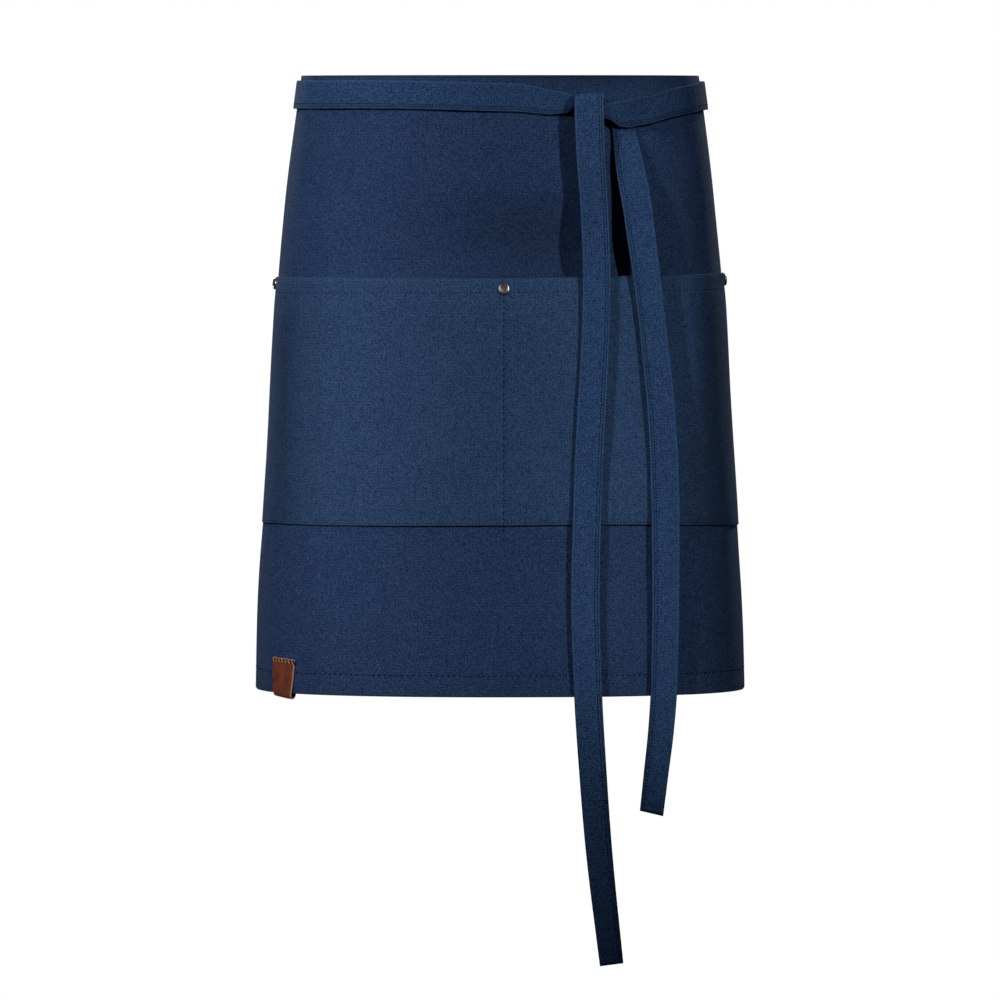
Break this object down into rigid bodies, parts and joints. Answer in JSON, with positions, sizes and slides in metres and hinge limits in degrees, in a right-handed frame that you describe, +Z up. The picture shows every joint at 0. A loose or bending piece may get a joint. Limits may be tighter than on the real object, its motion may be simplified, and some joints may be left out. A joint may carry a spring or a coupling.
{
  "type": "waist apron",
  "caption": "Short waist apron of navy twill as worn: a wrapped panel with a wide riveted patch pocket, cloth ties knotted in front and a folded leather label on the hem.",
  "frame": {"origin": "centre of the waist opening, level with the panel's top edge", "axes": "+Z up, -Y out of the apron's front, +X to the right of someone who looks at the front"},
  "size_m": [0.4006, 0.2367, 0.716],
  "materials": {
    "twill": "matt navy cotton twill with a fine mottled weave",
    "rivet_metal": "polished gunmetal",
    "leather": "smooth brown leather with a raw tan edge"
  },
  "bodies": {
    "root": {"apron_panel": "twill", "pocket_panel": "twill", "tie_left": "twill", "tie_right": "twill", "rivet_left": "rivet_metal", "rivet_center": "rivet_metal", "rivet_right": "rivet_metal", "label": "leather"}
  },
  "joints": []
}
